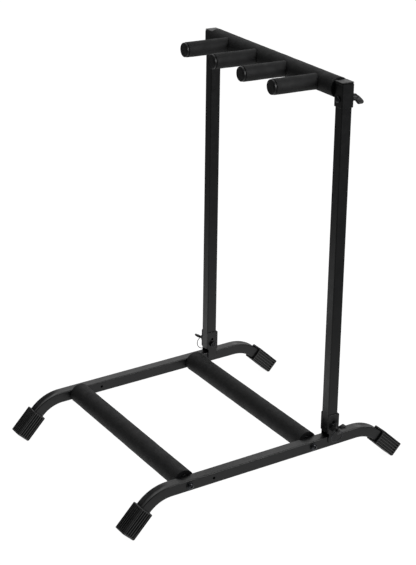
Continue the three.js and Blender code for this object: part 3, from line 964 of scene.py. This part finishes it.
def wing_head(ring_post=False, bore=0.0):
    """Moulded one-wing head standing on z = 0, as one smooth skin."""
    to_xz = Matrix(((1, 0, 0, 0), (0, 0, -1, 0), (0, 1, 0, 0), (0, 0, 0, 1)))
    pull, heel_z, hub_top = SCREW_HEAD if ring_post else NUT_HEAD
    wing = plate(wing_outline(pull, heel_z), [], WING_THICKNESS, WING_ROUND)
    wing.data.transform(to_xz)
    pad = plate(ring_outline(PAD_RADIUS, 30), [], WING_THICKNESS + PAD_RISE, WING_ROUND)
    pad.data.transform(move(WING_REACH - PAD_INSET[0], 0, WING_HEIGHT - PAD_INSET[1]) @ to_xz)
    foot, shoulder, crown = HUB_RADII
    core = 0.4
    hub_corners = [
        (core, 0.0),
        (foot, 0.0),
        (foot, 2.2),
        (shoulder, hub_top - 1.4),
        (crown, hub_top),
        (core, hub_top),
    ]
    hub_profile = fillet(hub_corners, 0.7, steps=4)
    hub = shape(turned(hub_profile, 48))
    parts = [hub, pad]
    if ring_post:
        post = [
            (0.3, POST_ROOT),
            (POST_RADIUS, POST_ROOT),
            (POST_RADIUS, RING_RISE + 2.2),
            (2.2, RING_RISE + 3.0),
            (0.3, RING_RISE + 3.0),
        ]
        parts.append(shape(turned(fillet(post, 0.8), 40)))
    head = gather(wing, *parts)
    face_outwards(head)
    fuse(head, voxel=0.36, smoothing=4)
    if ring_post:
        across = move(z=RING_RISE) @ turn(-RING_TURN, "Z") @ turn(90, "Y")
        cut(head, drill(RING_WIRE + RING_PLAY, 13, across, 24))
    if bore:
        cut(head, drill(bore, 2 * NUT_BORE_DEPTH, Matrix(), 40))
    return head


def ring_outline(radius, count):
    return [Vector((p.x, p.y)) for p in ring_points(radius, 0, count)]


def hex_nut(across_flats, height, bore):
    """Hexagonal nut on z = 0 with chamfered corners."""
    corner = across_flats / math.cos(math.pi / 6) / 2
    body = shape(turned([(corner, 0), (corner, height)], 6))
    chamfer = [
        (across_flats / 2 - 0.1, 0.0),
        (corner + 0.3, 1.1),
        (corner + 0.3, height - 1.1),
        (across_flats / 2 - 0.1, height),
    ]
    combine("INTERSECT", body, [shape(turned(chamfer, 60))])
    hole = [
        (bore / 2 + 0.6, -0.1),
        (bore / 2, 0.5),
        (bore / 2, height - 0.5),
        (bore / 2 + 0.6, height + 0.1),
    ]
    cut(body, shape(turned(hole, 40)))
    return body


def hinge_hardware(side_name, side):
    half = BRACKET_WIDTH / 2
    thickness = 1.2
    washer_face = half + GAP
    head_face = washer_face + thickness + GAP
    nut_height = 5.0
    axis = LEANING @ move(side * SIDE, 0, HINGE_RISE) @ turn(90 * side, "Y")
    turned_axis = axis @ move(z=head_face) @ turn(HINGE_WING_TURN[side_name], "Z")

    head = wing_head(ring_post=True)
    tip = -(head_face + half + GAP + nut_height)
    threaded = thread(BOLT / 2, tip + 0.4, tip + 9.0)
    profile = [(BOLT / 2 - 0.5, tip)] + threaded + [(BOLT / 2, tip + 9.2), (BOLT / 2, 1.0)]
    shank = shape(turned(profile, 36))
    place(f"{side_name}_hinge_wing_screw", gather(head, shank), turned_axis)

    place(f"{side_name}_hinge_washer", shape(washer(washer_face, thickness)), axis)
    nut = hex_nut(10.0, nut_height, BOLT + 2 * GAP)
    place(f"{side_name}_hinge_nut", nut, axis @ move(z=-half - GAP - nut_height))

    ring_y = -RING_RADIUS * math.cos(RING_LEAN)
    ring_z = RING_RISE + RING_RADIUS * math.sin(RING_LEAN)
    on_post = move(0, ring_y, ring_z) @ Matrix.Rotation(-RING_LEAN, 4, "X")
    place(f"{side_name}_hinge_ring", shape(wire_ring()), turned_axis @ turn(-RING_TURN, "Z") @ on_post)


def wire_ring():
    """Bent wire whose two cut ends meet with a hair's gap, opposite the post."""
    steps = 96
    gap = 0.35 / RING_RADIUS
    rings = []
    for k in range(steps + 1):
        angle = -math.pi / 2 + gap / 2 + (2 * math.pi - gap) * k / steps
        out = Vector((math.cos(angle), math.sin(angle), 0))
        r = RING_WIRE / 2 * (0.85 if k in (0, steps) else 1.0)
        ring = []
        for s in range(14):
            a = 2 * math.pi * s / 14
            ring.append(out * (RING_RADIUS + r * math.cos(a)) + Vector((0, 0, r * math.sin(a))))
        rings.append(ring)
    return loft(rings)


# ---------------- uprights


def upright(side_name, side):
    tube = shape(straight_tube(TUBE, TUBE_WALL, TUBE_CORNER, UPRIGHT_BOTTOM, UPRIGHT_TOP))
    mouth = box_corners(BOLT_HOLE, 3 * TUBE)
    slot = shape(loft([[Vector((x, y, z)) for x, y in mouth] for z in (CLAMP_RISE, UPRIGHT_TOP + 5)]))
    cut(
        tube,
        drill(BOLT_HOLE, 3 * TUBE, move(z=HINGE_RISE) @ turn(90, "Y")),
        drill(SPARE_HOLE, 3 * TUBE, move(z=LOCK_HOLE_RISE) @ turn(90, "Y")),
        drill(BOLT_HOLE, 3 * TUBE, move(z=CLAMP_RISE) @ turn(90, "X")),
        slot,
    )
    place(f"{side_name}_upright", tube, LEANING @ move(side * SIDE))


def box_corners(width, depth):
    x, y = width / 2, depth / 2
    return [(-x, -y), (x, -y), (x, y), (-x, y)]


# ---------------- yoke


def yoke_end(side_name, side):
    wall = (SLEEVE - TUBE) / 2 - GAP
    sleeve = shape(straight_tube(SLEEVE, wall, 2.2, SLEEVE_BOTTOM, SLEEVE_TOP, 0.7))
    cut(sleeve, drill(BOLT_HOLE, 3 * SLEEVE, move(z=CLAMP_RISE) @ turn(90, "X")))
    at = LEANING @ move(side * SIDE)
    place(f"{side_name}_yoke_sleeve", sleeve, at)

    rest = SLEEVE_TOP + GAP
    # height, width, corner radius: the plug inside the sleeve, then a groove, then the crowned top
    levels = [
        (UPRIGHT_TOP + 2 * GAP, TUBE - 1.6, 1.2),
        (UPRIGHT_TOP + 1.6, TUBE - GAP, 1.2),
        (rest, TUBE - GAP, 1.2),
        (rest, SLEEVE - 2.4, 1.6),
        (rest + 0.9, SLEEVE - 1.8, 1.8),
        (rest + 1.1, SLEEVE - 0.2, 2.2),
        (rest + 1.8, SLEEVE, 2.2),
        (rest + 2.3, SLEEVE - 0.9, 2.0),
        (rest + 2.6, SLEEVE - 3.0, 1.8),
        (rest + 2.7, SLEEVE - 8.0, 1.4),
    ]
    rings = [[Vector((p.x, p.y, z)) for p in rounded_square(width, corner)] for z, width, corner in levels]
    place(f"{side_name}_yoke_sleeve_cap", shape(loft(rings)), at)
    clamp_hardware(side_name, side)


def clamp_hardware(side_name, side):
    face = SLEEVE / 2 + GAP
    wing_at = face + GAP
    tip = wing_at + 9.0
    head_radius = 6.0
    head_height = 3.6
    rim = 0.8
    axis = LEANING @ move(side * SIDE, 0, CLAMP_RISE) @ turn(90, "X")
    profile = [(BOLT / 2 - 0.5, -tip)] + thread(BOLT / 2, 0.4 - tip, -8.0)
    profile += [(BOLT / 2, -7.8), (BOLT / 2, face), (head_radius - 0.2, face), (head_radius, face + 0.25)]
    profile += dome(head_radius, face + rim, head_height - rim, 0.95)
    place(f"{side_name}_clamp_bolt", shape(turned(profile, 48)), axis)
    nut_axis = axis @ move(z=-wing_at) @ turn(180, "X") @ turn(side * CLAMP_WING_TURN, "Z")
    place(f"{side_name}_clamp_wing_nut", wing_head(bore=BOLT + 2 * GAP), nut_axis)


def prong_frame(index):
    x = (index - (PRONG_COUNT - 1) / 2) * PRONG_PITCH
    return LEANING @ move(x, 0, YOKE_RAIL) @ Matrix.Rotation(math.pi / 2 - PRONG_RISE, 4, "X")


def prong_foam(node, matrix, foam_end):
    """Sleeve whose root is coped to the rail's foam and bulges where it is pushed against it."""
    segments = 64
    radius = PRONG_FOAM / 2
    seat = RAIL_FOAM / 2 - 0.15
    bore = PRONG_TUBE / 2 + GAP
    lip = 1.0

    def root(p, r):
        return math.sqrt(seat * seat - (p.y * r) ** 2)

    rings = []
    unit = ring_points(1.0, 0.0, segments)
    body_steps = 26
    root_edge = 1.1
    for k in range(5):
        a = math.pi / 2 * k / 4
        r = radius + FOAM_SWELL - root_edge * (1 - math.sin(a))
        rings.append([Vector((p.x * r, p.y * r, root(p, r) + root_edge * (1 - math.cos(a)))) for p in unit])
    for k in range(1, body_steps + 1):
        share = k / body_steps
        ring = []
        for p in unit:
            low = root(p, radius) + root_edge
            z = low + (foam_end - lip - low) * share
            seen = matrix @ Vector((p.x * radius, p.y * radius, z))
            r = radius + FOAM_SWELL * math.exp(-(z - low) / 3.5) + ripple(seen, 0.2)
            ring.append(Vector((p.x * r, p.y * r, z)))
        rings.append(ring)
    for k in range(1, 6):
        a = math.pi / 2 * k / 5
        level = foam_end - lip + lip * math.sin(a)
        rings.append(ring_points(radius - lip * (1 - math.cos(a)), level, segments))
    rings.append(ring_points(bore + 0.4, foam_end, segments))
    rings.append(ring_points(bore, foam_end - 0.6, segments))
    rings.append([Vector((p.x * bore, p.y * bore, root(p, bore) + 0.3)) for p in unit])
    foam = shape(loft(rings, cyclic=True))
    place(node, foam, matrix, sharp=60, weighted=False)


def prong(number):
    matrix = prong_frame(number - 1)
    cap_face = PRONG_REACH - PRONG_CAP_THICKNESS
    bore = PRONG_TUBE / 2 - TUBE_WALL
    segments = 48
    unit = ring_points(1.0, 0.0, segments)
    seat = RAIL_TUBE / 2 + GAP
    outer = PRONG_TUBE / 2

    def coped(r):
        return [Vector((p.x * r, p.y * r, math.sqrt(seat * seat - (p.y * r) ** 2))) for p in unit]

    end = cap_face - GAP
    rings = [
        coped(outer),
        ring_points(outer, end - 0.3, segments),
        ring_points(outer - 0.3, end, segments),
        ring_points(bore + 0.3, end, segments),
        ring_points(bore, end - 0.3, segments),
        coped(bore),
    ]
    place(f"prong_{number}_tube", shape(loft(rings, cyclic=True)), matrix)
    prong_foam(f"prong_{number}_foam", matrix, end)

    radius = PRONG_CAP / 2
    stem = bore - GAP
    face = PRONG_REACH
    profile = fillet(
        [
            (stem - 1.0, cap_face - 12.0),
            (stem, cap_face - 10.0),
            (stem, cap_face),
            (radius - 0.6, cap_face),
            (radius, cap_face + 0.6),
            (radius, face - 1.0),
            (radius - 1.0, face),
            (10.4, face),
            (9.9, face - 0.7),
            (9.0, face - 0.7),
            (8.5, face),
            (1.9, face),
            (1.5, face - 0.4),
            (0.3, face - 0.4),
        ],
        [0, 0.8, 0, 0.3, 0.3, 1.2, 1.2, 0.15, 0.15, 0.15, 0.15, 0.15, 0.15, 0],
        steps=3,
    )
    place(f"prong_{number}_cap", shape(turned(profile, 56)), matrix)


def prong_dent(x, direction):
    """How far a prong's foam presses into the rail's foam, as a function on the rail's surface."""

    def depth(px, py, z):
        facing = px * direction.x + py * direction.y
        if facing <= 0:
            return 0.0
        sideways = RAIL_FOAM / 2 * (px * direction.y - py * direction.x)
        away = math.hypot(z - x, sideways)
        return DENT_DEPTH * max(0.0, min(1.0, (PRONG_FOAM / 2 + 1.5 - away) / 3.0))

    return depth


def yoke_rail():
    length = 2 * (SLEEVE_INNER_FACE - GAP)
    matrix = LEANING @ move(z=YOKE_RAIL) @ turn(90, "Y")
    round_tube("yoke_rail_tube", RAIL_TUBE, RAIL_TUBE - 2 * TUBE_WALL, -length / 2, length / 2, matrix)
    inverse = matrix.inverted().to_3x3()
    dents = []
    for index in range(PRONG_COUNT):
        prong_matrix = prong_frame(index)
        local = inverse @ (prong_matrix.to_3x3() @ Vector((0, 0, 1)))
        along = (matrix.inverted() @ prong_matrix.translation).z
        dents.append(prong_dent(along, local))
    bar_foam("yoke_rail_foam", RAIL_FOAM, RAIL_TUBE + 2 * GAP, length - 1.2, matrix, dents)


# ---------------- build

for side_name, side in SIDES.items():
    side_rail(side_name, side)
    for end_name, end in ENDS.items():
        foot_cap(f"{end_name}_{side_name}_foot_cap", side, end)
    hinge_bracket(side_name, side)
    hinge_hardware(side_name, side)
    upright(side_name, side)
    yoke_end(side_name, side)
cross_bar("front_bar", FRONT_BAR_Y)
cross_bar("rear_bar", REAR_BAR_Y)
yoke_rail()
for number in range(1, PRONG_COUNT + 1):
    prong(number)

# ---------------- floor, light and camera

FLOOR_TONE = (0.2, 0.2, 0.2, 1)
FLOOR_LIFT = 0.97
POOL_CENTRE = (-0.12, 0.0, 0.0)
POOL_RADIUS = 0.3
POOL_EDGE = 1.1
POOL_LIGHT = 0.62
POOL_SPILL = 0.06
ROOM_LIGHT = 0.08
BACKDROP_LIGHT = 0.86
BACKDROP_SPREAD = (0.62, 0.97)  # cosines at which its glow starts and is full
BACKDROP_DIRECTION = Vector((-0.8, 0.46, 0.35))
CAMERA_AZIMUTH = math.radians(59.989)
CAMERA_ELEVATION = math.radians(22.926)
CAMERA_ROLL = math.radians(-1.5395)
CAMERA_DISTANCE = 2.960
CAMERA_AIM = Vector((0.0, 0.0183, 0.3217))
LENS = 106.10
SENSOR_WIDTH = 36.0
SOFTBOXES = {  # location, target, size, power
    "key": ((-0.6, -2.2, 3.0), (0, 0, 0.35), (2.4, 1.6), 5),
    "top": ((-0.6, 0.6, 3.2), (0, 0, 0.35), (2.6, 2.6), 11),
    "side": ((1.90, 1.20, 1.45), (0, 0.05, 0.68), (1.4, 1.2), 27),
}


def floor():
    """One large pale sheet that glows as painted light, brightest in a pool round the rack, for every ray but
    the camera's; the camera sees it plain white.
    """
    half = 12.0
    mesh = bpy.data.meshes.new("floor")
    corners = [(-half, -half, 0), (half, -half, 0), (half, half, 0), (-half, half, 0)]
    mesh.from_pydata(corners, [], [(0, 1, 2, 3)])
    obj = new_object("floor", mesh)
    n = Nodes("floor")
    n.finish(FLOOR_TONE, 0.9, specular=0.0)
    reach = n.add("ShaderNodeVectorMath", operation="DISTANCE")
    n.link(n.position, reach.inputs[0])
    reach.inputs[1].default_value = POOL_CENTRE
    # painted light: the floor's own glow, brightest in a pool round the rack
    pool = n.remap(reach.outputs["Value"], POOL_RADIUS, POOL_EDGE, POOL_LIGHT, POOL_SPILL)
    camera_ray = n.add("ShaderNodeLightPath").outputs["Is Camera Ray"]
    glow = n.add("ShaderNodeEmission")
    glow.inputs["Color"].default_value = (1, 1, 1, 1)
    unseen = n.math("MULTIPLY", n.math("SUBTRACT", 1.0, camera_ray), pool)
    n.link(n.math("ADD", unseen, n.math("MULTIPLY", camera_ray, FLOOR_LIFT)), glow.inputs["Strength"])
    both = n.add("ShaderNodeAddShader")
    n.link(n.surface.outputs[0], both.inputs[0])
    n.link(glow.outputs[0], both.inputs[1])
    n.link(both.outputs[0], n.tree.nodes["Material Output"].inputs["Surface"])
    obj.data.materials.append(n.material)


def softbox(name, location, target, size, power):
    light = bpy.data.lights.new(name, "AREA")
    light.shape = "RECTANGLE"
    light.size, light.size_y = size
    light.energy = power
    obj = new_object(name, light)
    obj.location = location
    obj.rotation_mode = "QUATERNION"
    obj.rotation_quaternion = (Vector(location) - Vector(target)).to_track_quat("Z", "Y")


def studio_world():
    """A pale backdrop behind the rack and a dim room everywhere else; the camera itself sees plain white."""
    world = bpy.data.worlds.new("studio")
    world.use_nodes = True
    tree = world.node_tree
    background = tree.nodes["Background"]
    direction = tree.nodes.new("ShaderNodeTexCoord").outputs["Generated"]
    dot = tree.nodes.new("ShaderNodeVectorMath")
    dot.operation = "DOT_PRODUCT"
    tree.links.new(direction, dot.inputs[0])
    dot.inputs[1].default_value = BACKDROP_DIRECTION.normalized()
    glow = tree.nodes.new("ShaderNodeMapRange")
    glow.interpolation_type = "SMOOTHSTEP"
    for socket, number in zip(glow.inputs[1:5], (*BACKDROP_SPREAD, ROOM_LIGHT, BACKDROP_LIGHT)):
        socket.default_value = number
    tree.links.new(dot.outputs["Value"], glow.inputs[0])
    seen = tree.nodes.new("ShaderNodeMix")
    tree.links.new(tree.nodes.new("ShaderNodeLightPath").outputs["Is Camera Ray"], seen.inputs[0])
    tree.links.new(glow.outputs[0], seen.inputs[2])
    seen.inputs[3].default_value = 1.0
    tree.links.new(seen.outputs[0], background.inputs["Strength"])
    background.inputs["Color"].default_value = (1, 1, 1, 1)
    bpy.context.scene.world = world


def camera():
    data = bpy.data.cameras.new("camera")
    data.lens = LENS
    data.sensor_width = SENSOR_WIDTH
    data.clip_start = 0.1
    data.clip_end = 60.0
    obj = new_object("camera", data)
    flat = math.cos(CAMERA_ELEVATION)
    across, away = math.sin(CAMERA_AZIMUTH) * flat, -math.cos(CAMERA_AZIMUTH) * flat
    back = Vector((across, away, math.sin(CAMERA_ELEVATION)))
    obj.location = CAMERA_AIM + back * CAMERA_DISTANCE
    obj.rotation_mode = "QUATERNION"
    obj.rotation_quaternion = back.to_track_quat("Z", "Y") @ Quaternion((0, 0, 1), CAMERA_ROLL)
    bpy.context.scene.camera = obj


floor()
studio_world()
for name, setting in SOFTBOXES.items():
    softbox(name, *setting)
camera()
bpy.context.scene.view_settings.view_transform = "Standard"
